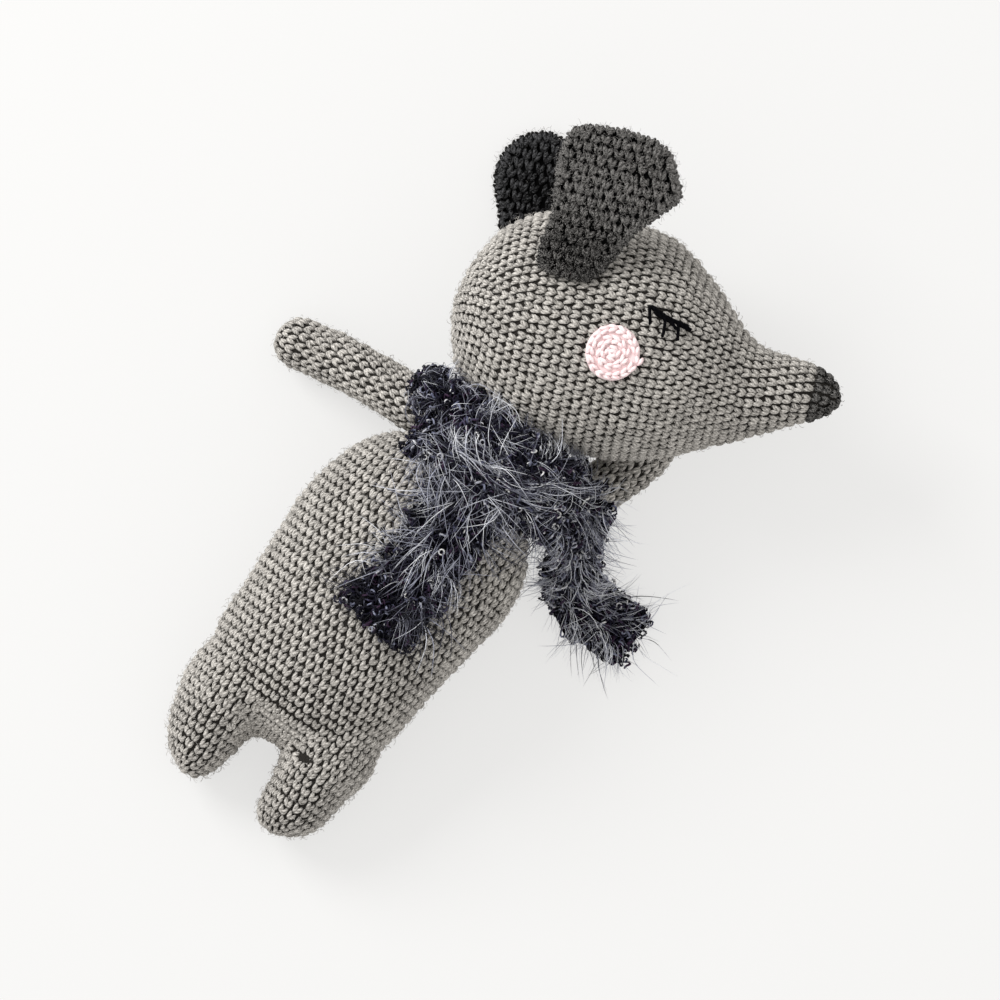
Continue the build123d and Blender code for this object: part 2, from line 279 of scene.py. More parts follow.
# Spun yarn: plies wind round the strand as slanted ridges, fine fibres streak along them,
# light and dark hairs are mixed in, each stitch differs a little, and its foot is painted with shade.
def yarnGroup():
    group, inside, outside = newGroup("spunYarn", [
        ("Dark", "NodeSocketColor", (0.1, 0.1, 0.1, 1)), ("Light", "NodeSocketColor", (0.5, 0.5, 0.5, 1)),
        ("Plies", "NodeSocketFloat", 3.0), ("Pitch", "NodeSocketFloat", 0.42), ("Marl", "NodeSocketFloat", 0.5),
        ("Fibre Size", "NodeSocketFloat", 1500.0), ("Foot Shade", "NodeSocketFloat", 0.55)],
        [("Color", "NodeSocketColor"), ("Roughness", "NodeSocketFloat"), ("Height", "NodeSocketFloat")])
    t = group
    uv = t.nodes.new("ShaderNodeUVMap")
    uv.uv_map = "strand"
    split = t.nodes.new("ShaderNodeSeparateXYZ")
    t.links.new(uv.outputs[0], split.inputs[0])
    turn = mathNode(t, "MULTIPLY", split.outputs[0], inside.outputs["Plies"])
    climb = mathNode(t, "MULTIPLY", split.outputs[1], inside.outputs["Pitch"])
    phase = mathNode(t, "MULTIPLY", mathNode(t, "ADD", turn, climb), 2 * math.pi)
    ply = mathNode(t, "ADD", mathNode(t, "MULTIPLY", mathNode(t, "SINE", phase), 0.5), 0.5)
    fibres = noiseNode(t, 5.0)
    fibres.inputs["Detail"].default_value = 3.0
    t.links.new(inside.outputs["Fibre Size"], fibres.inputs["Scale"])
    streak = t.nodes.new("ShaderNodeTexNoise")
    stretch = t.nodes.new("ShaderNodeCombineXYZ")
    t.links.new(mathNode(t, "MULTIPLY", mathNode(t, "ADD", turn, climb), 3.0), stretch.inputs[0])
    t.links.new(mathNode(t, "MULTIPLY", split.outputs[1], 0.35), stretch.inputs[1])
    t.links.new(stretch.outputs[0], streak.inputs["Vector"])
    streak.inputs["Scale"].default_value = 3.0
    marl = mathNode(t, "SUBTRACT", mathNode(t, "ADD", fibres.outputs[0], streak.outputs[0]), 1.0)
    marl = mathNode(t, "MULTIPLY", mathNode(t, "MULTIPLY", marl, inside.outputs["Marl"]), 3.2)
    own = mathNode(t, "MULTIPLY", attributeNode(t, "tone"), 0.22)
    base = mathNode(t, "ADD", mathNode(t, "MULTIPLY", ply, 0.42), own)
    share = mathNode(t, "ADD", mathNode(t, "ADD", base, 0.23), marl, clamp=True)
    colour = mixNode(t, share, inside.outputs["Dark"], inside.outputs["Light"])
    # Painted shade: the lower part of each stitch, by its depth, is mixed towards black by the foot shade.
    below = mathNode(t, "SUBTRACT", 1.0, attributeNode(t, "depth"), clamp=True)
    foot = mathNode(t, "MULTIPLY", below, inside.outputs["Foot Shade"])
    colour = mixNode(t, foot, colour, (0.0, 0.0, 0.0, 1))
    t.links.new(colour, outside.inputs["Color"])
    rough = mathNode(t, "ADD", 0.78, mathNode(t, "MULTIPLY", fibres.outputs[0], 0.18))
    t.links.new(rough, outside.inputs["Roughness"])
    hairs = mathNode(t, "MULTIPLY", streak.outputs[0], 0.5)
    height = mathNode(t, "ADD", mathNode(t, "MULTIPLY", ply, 0.7), hairs)
    t.links.new(height, outside.inputs["Height"])
    return group


spunYarn = yarnGroup()


# footShade sets the painted shade at each stitch's foot.
def yarnMaterial(name, dark, light, marl=0.5, fibreSize=1500.0, footShade=0.55, sheen=0.25, bump=0.5,
                 plies=3.0, gloss=0.2):
    material, tree, shader = newMaterial(name, gloss)
    node = tree.nodes.new("ShaderNodeGroup")
    node.node_tree = spunYarn
    for label, value in (("Dark", (*dark, 1)), ("Light", (*light, 1)), ("Marl", marl), ("Plies", plies),
                         ("Fibre Size", fibreSize), ("Foot Shade", footShade)):
        node.inputs[label].default_value = value
    tree.links.new(node.outputs["Color"], shader.inputs["Base Color"])
    tree.links.new(node.outputs["Roughness"], shader.inputs["Roughness"])
    bumped(tree, shader, node.outputs["Height"], bump, 0.0004)
    shader.inputs["Sheen Weight"].default_value = sheen
    shader.inputs["Sheen Roughness"].default_value = 0.5
    material.diffuse_color = (*light, 1)
    return material


greyYarn = yarnMaterial("greyYarn", (0.10, 0.092, 0.082), (0.72, 0.685, 0.635),
                        marl=0.50, footShade=0.52, sheen=0.05, bump=0.9)
# Painted shade: near-black skin under the stitches, so that the gaps between them look shaded.
greyGapShade = yarnMaterial("greyPaintedGapShade", (0.012, 0.011, 0.010), (0.040, 0.036, 0.032),
                        footShade=0.0, sheen=0.0, gloss=0.0)
charcoalYarn = yarnMaterial("charcoalYarn", (0.001, 0.001, 0.001), (0.215, 0.207, 0.198),
                            marl=1.3, fibreSize=1700.0, footShade=1.0, sheen=0.0, gloss=0.04)
blackYarn = yarnMaterial("blackYarn", (0.001, 0.001, 0.001), (0.085, 0.085, 0.088),
                         marl=1.0, footShade=1.0, sheen=0.0, gloss=0.06)
# Painted shade: near-black core between an ear's two layers.
blackGapShade = yarnMaterial("blackPaintedGapShade", (0.001, 0.001, 0.001), (0.004, 0.004, 0.004),
                         footShade=0.0, sheen=0.0, gloss=0.0)
pinkYarn = yarnMaterial("pinkYarn", (0.93, 0.62, 0.635), (1.0, 0.885, 0.88), marl=0.3, footShade=0.12)
eyeThread = yarnMaterial("eyeThread", (0.0008, 0.0008, 0.001), (0.004, 0.004, 0.005),
                         footShade=0.0, plies=2.0, sheen=0.0, gloss=0.02)
fuzzGrey = yarnMaterial("greyFuzz", (0.16, 0.15, 0.14), (0.66, 0.63, 0.59),
                        footShade=0.0, bump=0.0, sheen=0.0)
fuzzCharcoal = yarnMaterial("charcoalFuzz", (0.006, 0.006, 0.006), (0.46, 0.44, 0.42),
                            footShade=0.0, bump=0.0, marl=1.2, sheen=0.0, gloss=0.1)


# The stuffed shapes under the stitches.
skinRules = {"weld": 0.02, "voxel": 3.6, "smoothing": 4, "grow": 1.5,
             "pressure": 4.0, "frames": 20, "cap": 1.2}


def pointsOf(shape):
    points = np.empty(len(shape.data.vertices) * 3, np.float32)
    shape.data.vertices.foreach_get("co", points)
    return points.reshape(-1, 3)


def setPoints(shape, points):
    shape.data.vertices.foreach_set("co", points.astype(np.float32).ravel())
    shape.data.update()


def baked(shape):  # the mesh that the modifiers make
    bpy.context.view_layer.update()
    done = bpy.data.meshes.new_from_object(shape.evaluated_get(bpy.context.evaluated_depsgraph_get()))
    shape.modifiers.clear()
    return done


def skinFrom(node, name, grow=None, puff=True, voxel=None, smoothing=None):
    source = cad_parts[node]
    mesh = source.data.copy()
    shape = bpy.data.objects.new(name, mesh)
    scene.collection.objects.link(shape)
    weld = shape.modifiers.new("merge", "WELD")
    weld.merge_threshold = skinRules["weld"] * mm
    even = shape.modifiers.new("even", "REMESH")
    even.mode = "VOXEL"
    even.voxel_size = (voxel or skinRules["voxel"]) * mm
    calm = shape.modifiers.new("calm", "SMOOTH")
    calm.factor = 0.5
    calm.iterations = smoothing or skinRules["smoothing"]
    out = shape.modifiers.new("grow", "DISPLACE")
    out.strength = (skinRules["grow"] if grow is None else grow) * mm
    out.mid_level = 0.0
    shape.data = baked(shape)
    if puff:
        puffed(shape)
    points = pointsOf(shape)
    points[:, 2] = pressed(points[:, 2] / mm) * mm
    setPoints(shape, points)
    for label in ("tone", "depth"):
        if label not in shape.data.attributes:
            shape.data.attributes.new(label, "FLOAT", "POINT")
    if not shape.data.uv_layers:
        shape.data.uv_layers.new(name="strand")
    shape.data.polygons.foreach_set("use_smooth", np.ones(len(shape.data.polygons), bool))
    return shape


def puffed(shape):  # stuffing presses the cover outwards from inside; no point moves further than the cap
    before = pointsOf(shape)
    cloth = shape.modifiers.new("stuffing", "CLOTH")
    cloth.settings.quality = 5
    cloth.settings.use_pressure = True
    cloth.settings.uniform_pressure_force = skinRules["pressure"]
    cloth.settings.effector_weights.gravity = 0
    cloth.point_cache.frame_start, cloth.point_cache.frame_end = 1, skinRules["frames"]
    for number in range(1, skinRules["frames"] + 1):
        scene.frame_set(number)
    after = np.empty(before.size, np.float32)
    baked(shape).vertices.foreach_get("co", after)
    step = after.reshape(-1, 3) - before
    far = np.linalg.norm(step, axis=1, keepdims=True)
    setPoints(shape, before + step * np.minimum(1.0, skinRules["cap"] * mm / np.maximum(far, 1e-9)))
    scene.frame_set(1)


def stretched(shape, axis, start, share):  # past a place on an axis, lengths along it grow by a share
    points = pointsOf(shape)
    past = np.maximum(points @ axis - start * mm, 0)
    setPoints(shape, points + (past * share)[:, None] * axis)


def treeOf(shape):
    faces = [list(p.vertices) for p in shape.data.polygons]
    return BVHTree.FromPolygons((pointsOf(shape) / mm).tolist(), faces)


# Rings round an axis: from each origin, rays go out at even angles, leaning towards the axis by a tilt,
# and each meets the skin in one point.
def castRings(tree, origins, axis, sideways, tilts, angles):
    flat = swept(angles, sideways, np.cross(axis, sideways))
    rays = flat * np.cos(tilts)[:, None, None] + axis[:, None] * np.sin(tilts)[:, None, None]
    starts = np.broadcast_to(origins[:, None], rays.shape).reshape(-1, 3)
    hits = [tree.ray_cast(Vector(s), Vector(d))[0] for s, d in zip(starts, rays.reshape(-1, 3))]
    points = np.array([(h if h is not None else s) for h, s in zip(hits, starts)], float)
    return points.reshape(rays.shape)


# A fan's share of the middle line's length, and how much of a right angle it tilts.
fan = {"share": 0.35, "reach": 0.985}


# Rows a row's height apart along the surface: a fan of tilted rings closes each end,
# and upright rings lie between; even steps are taken along the mean length of the meridians.
def rowRings(tree, middle, closeLow, closeHigh, rowHeight, sideways, count=96, dense=260, straight=None):
    run = runOf(middle)
    lowPart, highPart = (fan["share"] if closed else 0.0 for closed in (closeLow, closeHigh))
    s = np.linspace(-lowPart, 1 + highPart, dense)
    tilt = np.where(s < 0, s / max(lowPart, 1e-9), np.where(s > 1, (s - 1) / max(highPart, 1e-9), 0))
    tilt = tilt * (0.5 * np.pi) * fan["reach"]
    along = np.clip(s, 0, 1) * run[-1]
    slope = unit(np.gradient(middle, axis=0)) if straight is None else np.broadcast_to(straight, middle.shape)

    def at(place):
        axis = unit(lineAt(place, run, slope))
        return lineAt(place, run, middle), axis, unit(sideways - (axis @ sideways)[:, None] * axis)

    few = castRings(tree, *at(along), tilt, turns(12))
    step = np.linalg.norm(np.diff(few, axis=0), axis=2)
    length = np.concatenate([[0], np.cumsum(np.median(step, axis=1))])
    rows = max(3, int(round(length[-1] / rowHeight)))
    marks = np.interp((np.arange(rows) + 0.5) / rows * length[-1], length, np.arange(dense))
    rowAlong = np.interp(marks, np.arange(dense), along)
    rowTilt = np.interp(marks, np.arange(dense), tilt)
    return castRings(tree, *at(rowAlong), rowTilt, turns(count))


# Places for stitches: each ring is divided by its own length into whole stitches.
# across = along the ring, onward = to the next ring, outward = the surface's normal.
def placesOnRings(rings, stitchWidth, rowHeight, rise, drift=0.37, wobble=0.10):
    closed = np.concatenate([rings, rings[:, :1]], axis=1)
    onwardAll = unit(np.gradient(rings, axis=0))
    acrossAll = unit(np.roll(rings, -1, axis=1) - np.roll(rings, 1, axis=1))
    out = {k: [] for k in ("point", "across", "onward", "outward", "row", "size")}
    for number, ring in enumerate(closed):
        run = runOf(ring)
        if run[-1] < 2.5:  # too short for a stitch
            continue
        stitches = max(4, int(round(run[-1] / stitchWidth)))
        place = ((np.arange(stitches) + drift * number) % stitches) / stitches * run[-1]
        pick = lambda values: lineAt(place, run, np.concatenate([values, values[:1]]))
        across, onward = unit(pick(acrossAll[number])), unit(pick(onwardAll[number]))
        onward = unit(onward - np.sum(onward * across, axis=1, keepdims=True) * across)
        out["point"].append(pick(rings[number]))
        out["across"].append(across)
        out["onward"].append(onward)
        out["outward"].append(np.cross(across, onward))
        out["row"].append(np.full(stitches, number))
        out["size"].append(np.full(stitches, run[-1] / stitches))
    places = {k: np.concatenate(v) for k, v in out.items()}
    middle = rings.mean(axis=1)[places["row"]]
    flip = np.sign(np.sum(places["outward"] * (places["point"] - middle), axis=1, keepdims=True))
    flip[flip == 0] = 1
    places["across"] = places["across"] * flip
    places["outward"] = places["outward"] * flip
    count = len(places["point"])
    lean = rng.normal(0, wobble, count)[:, None]
    w, r = places["across"], places["onward"]
    places["across"], places["onward"] = unit(w + lean * r), unit(r - lean * w)
    places["width"] = places["size"] * rng.uniform(0.97, 1.08, count)
    places["length"] = rowHeight * rng.uniform(0.94, 1.10, count)
    places["rise"] = rise * rng.uniform(0.85, 1.2, count)
    places["point"] = places["point"] + rng.normal(0, 0.16, (count, 3))
    return places


def only(places, chosen):
    return {k: v[chosen] for k, v in places.items()}


def facingBack(places):  # the stitches point the other way along the piece
    return {**places, "onward": -places["onward"], "across": -places["across"]}


def underlay(skin, node):  # the stuffed shape stands for the filling; its near-black colour is painted shade seen between the stitches
    skin.data.materials.clear()
    skin.data.materials.append(greyGapShade)
    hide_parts(node)


# One stitch, in shares of its width and its row's height: two fat lobes lean apart from a shared foot.
stitchShape = {
    "path": [(0.03, -0.52, -0.22), (-0.06, -0.34, 0.02), (-0.15, -0.05, 0.20),
             (-0.24, 0.27, 0.18), (-0.31, 0.50, -0.02), (-0.33, 0.60, -0.20)],
    "radii": [0, 0.17, 0.245, 0.235, 0.15, 0],
}


def vStitch(sides=5):
    left = tubeTemplate(stitchShape["path"], stitchShape["radii"], sides)
    mirrored = np.array(stitchShape["path"]) * [-1, 1, 1] + [0, -0.10, -0.03]
    right = tubeTemplate(mirrored, stitchShape["radii"], sides)
    return joined([left, right])


# One loose fibre, along onward with a small bend upwards.
def fibreTemplate(spans=3, radius=0.09, bend=0.35):
    t = np.linspace(0, 1, spans + 2)
    path = np.stack([0.25 * np.sin(2.2 * t), t, bend * np.sin(np.pi * t * 0.8)], -1)
    return tubeTemplate(path, np.full(spans + 2, radius), 3)


def fuzzOn(places, count, length, material, thickness=0.07, stand=0.5):
    pick = rng.integers(0, len(places["point"]), count)
    angle = rng.uniform(0, 2 * np.pi, count)
    w, r, n = places["across"][pick], places["onward"][pick], places["outward"][pick]
    flat = np.cos(angle)[:, None] * w + np.sin(angle)[:, None] * r
    onward = unit(flat + rng.uniform(0.05, stand, count)[:, None] * n)
    across = unit(np.cross(onward, n))
    long = length * rng.uniform(0.5, 1.5, count)
    point = places["point"][pick]
    for way, low, high in ((w, -2, 2), (r, -2, 2), (n, 0.6, 1.5)):
        point = point + way * rng.uniform(low, high, (count, 1))
    spot = spotsAt(point, across, onward, np.cross(across, onward), long)
    template = fibreTemplate(3, thickness / length)
    # Where places carry painted shade, as on the ears, their loose fibres are shaded the same way.
    tone = rng.uniform(0, 1, count) + (places["shade"][pick] - 0.5 if "shade" in places else 0)
    return scatter(template, spot, tone), material


print("finishes and helpers ready")

body = {"stitchWidth": 4.5, "rowHeight": 4.35, "rise": 3.4, "fuzz": 3500, "legFuzz": 500, "fuzzLength": 2.4,
        "crotch": {"x": 0.5, "reach": 17.0, "from": -45.0, "limit": -74.0}}

bodySkin = skinFrom("body_filling", "bodySkin")
stretched(bodySkin, np.array([0.0, -1.0, 0.0]), 85.0, 0.14)
bodyTree = treeOf(bodySkin)
onwardY = np.array([0.0, 1.0, 0.0])
onwardX = np.array([1.0, 0.0, 0.0])
torsoMiddle = np.array([(-1.5, -63.3, 23), (-1.5, -50, 27), (-1.5, -30, 32), (0, 0, 35), (1.5, 40, 37),
                        (3, 66, 39), (3, 85, 44), (3, 100, 50.5), (3, 112, 55)], float)
torsoRings = rowRings(bodyTree, torsoMiddle, False, False, body["rowHeight"], onwardX, straight=onwardY)
legMiddles = {
    "Right": np.array([(-26.5, -63.3, 22), (-26, -80, 20), (-25, -88, 19)], float),
    "Left": np.array([(27.5, -63.3, 22), (28, -80, 20), (27.5, -88, 19)], float),
}
stitch = vStitch()
torsoPlaces = placesOnRings(torsoRings, body["stitchWidth"], body["rowHeight"], body["rise"])


# The fabric between the legs: a grid of rays towards the feet meets it, and each hit carries a stitch.
def saddlePlaces(rules):
    x, z = np.meshgrid(np.arange(-rules["reach"], rules["reach"], body["stitchWidth"]),
                       np.arange(4.0, 54.0, body["rowHeight"] * 0.9), indexing="ij")
    starts = np.stack([(x + rules["x"]).ravel(), np.full(x.size, rules["from"]), z.ravel()], -1)
    hits = [bodyTree.ray_cast(Vector(a), Vector((0, -1, 0))) for a in starts]
    met = [(tuple(place), tuple(normal)) for place, normal, _, _ in hits
           if place is not None and place[1] > rules["limit"] and abs(normal[1]) > 0.12]
    point, normal = np.array([m[0] for m in met]), np.array([m[1] for m in met])
    normal = normal * np.sign(-normal[:, 1:2])
    across = unit(np.cross(upward, normal))
    count = len(point)
    return {"point": point, "across": across, "onward": np.cross(normal, across), "outward": normal,
            "width": np.full(count, body["stitchWidth"] * 1.1),
            "length": np.full(count, body["rowHeight"] * 1.1), "rise": np.full(count, body["rise"])}


saddle = saddlePlaces(body["crotch"])
bodyCover = pieceFrom("bodyStitches", [(scatter(stitch, torsoPlaces), 0), (scatter(stitch, saddle), 0),
                                       fuzzOn(torsoPlaces, body["fuzz"], body["fuzzLength"], 1)],
                      [greyYarn, fuzzGrey])
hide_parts("body_cover")
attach(bodyCover, "root")
underlay(bodySkin, "body_filling")
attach(bodySkin, "root")
for side, middle in legMiddles.items():
    rings = rowRings(bodyTree, middle, False, True, body["rowHeight"], onwardX, 64, straight=-onwardY)
    inner = body["crotch"]["x"] + (1.5 if side == "Left" else -1.5)
    rings[..., 0] = np.maximum(rings[..., 0], inner) if side == "Left" else np.minimum(rings[..., 0], inner)
    places = placesOnRings(rings, body["stitchWidth"], body["rowHeight"], body["rise"])
    places = facingBack(places)
    leg = pieceFrom("leg%sStitches" % side,
                    [(scatter(stitch, places), 0), fuzzOn(places, body["legFuzz"], body["fuzzLength"], 1)],
                    [greyYarn, fuzzGrey])
    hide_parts("leg_%s_cover" % side.lower())
    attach(leg, "root")
print("body stitched:", len(torsoPlaces["point"]), "stitches")

head = {"stitchWidth": 4.45, "rowHeight": 4.4, "rise": 3.4, "noseStart": 112.5, "fuzz": 3200, "noseFuzz": 110}
headSkin = skinFrom("head_filling", "headSkin")
stretched(headSkin, snout, float(pose["headMiddle"] @ snout) + 105.0, 0.28)
headTree = treeOf(headSkin)
headLine = np.array([(-8, 0, 0), (20, 0, 0), (46, -1.2, 1.6), (69, -5.5, 4.2), (94, -7.9, 7.2),
                     (108, -4.6, 8.5), (113, -3.6, 9)], float)
headMiddle = headPoint(*headLine.T)
headRings = rowRings(headTree, headMiddle, True, True, head["rowHeight"], crown, straight=snout)
headPlaces = facingBack(placesOnRings(headRings, head["stitchWidth"], head["rowHeight"], head["rise"]))
alongSnout = (headPlaces["point"] - pose["headMiddle"]) @ snout
greyPlaces = only(headPlaces, alongSnout < head["noseStart"])
nosePlaces = only(headPlaces, alongSnout >= head["noseStart"])
headCover = pieceFrom("headStitches",
                      [(scatter(stitch, greyPlaces), 0), fuzzOn(greyPlaces, head["fuzz"], 2.2, 1)],
                      [greyYarn, fuzzGrey])
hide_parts("head_cover", "snout_cover", "muzzle_cover")
noseTone = rng.uniform(-0.7, 0.6, len(nosePlaces["point"]))
nose = pieceFrom("noseStitches",
                 [(scatter(stitch, nosePlaces, noseTone), 0), fuzzOn(nosePlaces, head["noseFuzz"], 1.5, 1)],
                 [charcoalYarn, fuzzCharcoal])
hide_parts("nose_tip")
underlay(headSkin, "head_filling")
for piece in (headCover, nose, headSkin):
    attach(piece, "head")
print("head stitched:", len(headPlaces["point"]), "stitches")

arms = {
    "right": {"line": [(-31.5, 97, 43), (-46, 96.4, 34), (-64, 94.8, 24), (-80, 92.2, 16),
                       (-91.6, 89.8, 12.6)],
              "blendEnd": (-46, 96.4, 34)},
    "left": {"line": [(36, 93, 40), (46, 99.5, 29), (55, 110, 19), (61, 126, 14), (65, 142.5, 12.6)],
             "blendEnd": (46, 99.5, 29)},
}
sleeveRules = {"stitchWidth": 4.5, "rowHeight": 4.4, "rise": 3.3, "fuzz": 650}
for side, arm in arms.items():
    line = np.array(arm["line"], float)
    skin = skinFrom("arm_%s_filling" % side, "arm%sSkin" % side.capitalize(), 2.0, False, 2.4, 3)
    tree = treeOf(skin)
    smooth = lineAt(np.linspace(0, len(line) - 1, 24), np.arange(len(line)), line)
    rings = rowRings(tree, smooth, True, True, sleeveRules["rowHeight"], upward, count=64)
    places = placesOnRings(rings, sleeveRules["stitchWidth"], sleeveRules["rowHeight"], sleeveRules["rise"])
    places = facingBack(places)
    sleeve = pieceFrom("arm%sStitches" % side.capitalize(),
                       [(scatter(stitch, places), 0), fuzzOn(places, sleeveRules["fuzz"], 2.2, 1)],
                       [greyYarn, fuzzGrey])
    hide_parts("arm_%s_cover" % side)
    underlay(skin, "arm_%s_filling" % side)
    for piece in (sleeve, skin):
        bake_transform(piece)
print("arms stitched")

# Ears: two layers each, worked flat in rows, outlines in the head's own plane.
ears = {
    "right": {"outline": [(-19, 25), (-18.5, 49), (-20.5, 76), (-15, 89), (8, 92), (26, 88), (34, 76),
                          (36.8, 67), (29, 57), (20, 46), (9, 26), (-1, 21.5)],
              "foot": (0, 23), "top": 54.0, "bottom": 50.0, "faceUp": True},
    "left": {"outline": [(-36, 30), (-42.5, 47), (-47.5, 62), (-44, 77), (-30, 86.5), (-14, 82), (-5, 66),
                         (-6, 46), (-14, 28), (-25, 25)],
             "foot": (-25, 27), "top": -47.8, "bottom": -51.8, "faceUp": False},
}
# The two ear figures for the foot and the hollow set painted shade: how much the stitches darken at the ear's
# foot and in its dish.
earShape = {"stitch": 4.7, "liningStitch": 4.9, "riseShare": 0.92, "inset": 2.4, "thickness": 2.2,
            "footPaintedShade": 2.3, "hollowPaintedShade": 1.9, "footLength": 26.0, "footLift": 4.2, "footDrop": 13.0}


# Smooth closed outline: cubic through the points, by averaging four neighbours (Catmull-Rom).
def smoothOutline(points, per=24):
    p = np.asarray(points, float)
    a, b, c, d = np.roll(p, 1, 0), p, np.roll(p, -1, 0), np.roll(p, -2, 0)
    t = (np.arange(per) / per)[:, None, None]
    curve = 0.5 * ((2 * b) + (c - a) * t + (2 * a - 5 * b + 4 * c - d) * t**2 + (3 * b - a - 3 * c + d) * t**3)
    return curve.transpose(1, 0, 2).reshape(-1, 2)


def evenly(loop, count):  # a closed loop divided into equal lengths
    closed = np.concatenate([loop, loop[:1]])
    run = runOf(closed)
    return lineAt(np.arange(count) / count * run[-1], run, closed), run[-1]


def insideOf(loop, points):  # inside when a line from the point crosses the outline an odd number of times
    x, y = points[:, 0][:, None], points[:, 1][:, None]
    a, b = loop, np.roll(loop, -1, axis=0)
    meets = (b[:, 0] - a[:, 0]) * (y - a[:, 1]) / (b[:, 1] - a[:, 1] + 1e-12) + a[:, 0]
    return (((a[:, 1] > y) != (b[:, 1] > y)) & (x < meets)).sum(axis=1) % 2 == 1


def shrunk(loop, by):  # each point moves towards the middle
    middle = loop.mean(axis=0)
    return middle + (loop - middle) * (1 - by / np.linalg.norm(loop - middle, axis=1, keepdims=True))


castFrom = 90.0  # well outside the head


def headHits(flat, way):  # rays from above or below, straight at the head's skin
    starts = headPoint(flat[:, 0], flat[:, 1], castFrom * way)
    return [headTree.ray_cast(Vector(s), Vector((0, 0, -way))) for s in starts]


# How far the head's skin reaches up or down at places of its flat plane; a low figure beyond its outline.
def headReach(points, way):
    return np.array([way * (h[0][2] - pose["headMiddle"][2]) if h[0] is not None else -castFrom
                     for h in headHits(points, way)])


# Height of an ear's middle surface: a shallow dish, which bends down over its foot's length towards the
# head's stitches, by a smooth step along the crown and by no more than its drop, and never below them.
def earHeight(points, middle, side, flat, foot):
    way = 1 if side == "right" else -1
    u, v = (points[:, 0] - middle[0]) / 30.0, (points[:, 1] - middle[1]) / 34.0
    waves = 1.0 * np.sin(2.1 * u + 0.6) + 0.9 * np.cos(2.4 * v - 0.4)
    dish = way * flat + waves * (1.0 if side == "right" else 0.7)
    share = np.clip(1 - (points[:, 1] - foot) / earShape["footLength"], 0, 1)
    share = share * share * (3 - 2 * share)
    laid = headReach(points, way) + earShape["footLift"]
    sunk = dish - share * np.clip(dish - laid, 0, earShape["footDrop"])
    return way * np.maximum(sunk, np.minimum(laid, dish + 2.0))


# Closed pad: the outline shrinks towards its middle in rings, and the top and the bottom meet at a round rim.
def padFrom(name, loop, heightOf, thickness, material, rings=26):
    middle = loop.mean(axis=0)
    share = np.sin(np.linspace(0, 1, rings + 1)[1:] * np.pi / 2)
    flats = middle + (loop - middle)[None] * share[:, None, None]
    swell = np.sqrt(np.maximum(1 - share**6, 0)) * thickness / 2
    heights = heightOf(flats.reshape(-1, 2)).reshape(rings, len(loop))
    top = headPoint(flats[..., 0], flats[..., 1], heights + swell[:, None])
    low = headPoint(flats[..., 0], flats[..., 1], heights - swell[:, None])
    centre = heightOf(middle[None])[0]
    tips = [headPoint(*middle, centre + way * thickness / 2)[None] for way in (1, -1)]
    verts = np.concatenate([tips[0], *top, *low[::-1][1:], tips[1]])
    quads, first, final = ringFaces(2 * rings - 1, len(loop))
    faces = [quads, np.concatenate([first, final])]
    area = np.cross(verts[first[:, 1]] - verts[0], verts[first[:, 2]] - verts[0])[:, 2].sum()
    if area < 0:
        faces = [f[:, ::-1].copy() for f in faces]
    uvSets = [np.zeros((len(f), f.shape[1], 2)) for f in faces]
    return addMesh(name, verts, faces, [material], uvSets)


# Places on a flat outline: rows across it, every other row half a stitch on, with the heights given.
def placesOnFlat(loop, heightOf, width, row, rise, up, border):
    low, high = loop.min(axis=0), loop.max(axis=0)
    a = np.arange(low[0], high[0], width)
    line = np.linspace(low[1], high[1], 300)
    heights = heightOf(np.stack([np.full(300, loop[:, 0].mean()), line], -1))
    run = np.concatenate([[0], np.cumsum(np.hypot(np.diff(line), np.diff(heights)))])
    b = np.interp(np.arange(0, run[-1], row), run, line)
    grid = np.stack(np.meshgrid(a, b, indexing="ij"), -1)
    grid[:, 1::2, 0] += width / 2
    flat = grid.reshape(-1, 2) + rng.normal(0, 0.25, (grid.size // 2, 2))
    flat = flat[insideOf(shrunk(loop, border), flat)]
    count = len(flat)
    h = heightOf(flat)
    slopeA = heightOf(flat + [0.5, 0]) - heightOf(flat - [0.5, 0])
    slopeB = heightOf(flat + [0, 0.5]) - heightOf(flat - [0, 0.5])
    across = unit(snout + slopeA[:, None] * upward)
    onward = unit(crown + slopeB[:, None] * upward)
    lean = rng.normal(0, 0.22, count)[:, None]
    across, onward = unit(across + lean * onward), unit(onward - lean * across)
    outward = upward * (1 if up else -1) * np.ones((count, 3))
    if not up:
        across = -across
    return {"point": headPoint(*flat.T, h), "across": across, "onward": onward, "outward": outward,
            "width": width * rng.uniform(0.95, 1.12, count), "length": row * rng.uniform(0.95, 1.15, count),
            "rise": rise * rng.uniform(0.8, 1.25, count)}


# Stitches of the rim: along the outline, leaning outwards.
def rimPlaces(loop, heightOf, size, up, inset):
    middle = loop.mean(axis=0)
    count = int(round(evenly(loop, 10)[1] / size))
    spots, _ = evenly(loop, count)
    nextOnes = np.roll(spots, -1, axis=0) - np.roll(spots, 1, axis=0)
    along = unit(nextOnes)
    out2 = np.stack([along[:, 1], -along[:, 0]], -1)
    out2 = out2 * np.sign(np.sum(out2 * (spots - middle), axis=1, keepdims=True))
    spots = spots - out2 * inset
    h = heightOf(spots)
    across = along[:, :1] * snout + along[:, 1:] * crown
    out3 = out2[:, :1] * snout + out2[:, 1:] * crown
    normal = unit(upward * (1 if up else -1) * 0.8 + out3 * 0.6)
    onward = unit(np.cross(normal, across))
    onward = onward * np.sign(np.sum(onward * out3, axis=1, keepdims=True))
    across = np.cross(onward, normal)
    return {"point": headPoint(*spots.T, h), "across": across, "onward": onward, "outward": normal,
            "width": np.full(count, size * 1.05), "length": np.full(count, size),
            "rise": np.full(count, size * 0.75)}


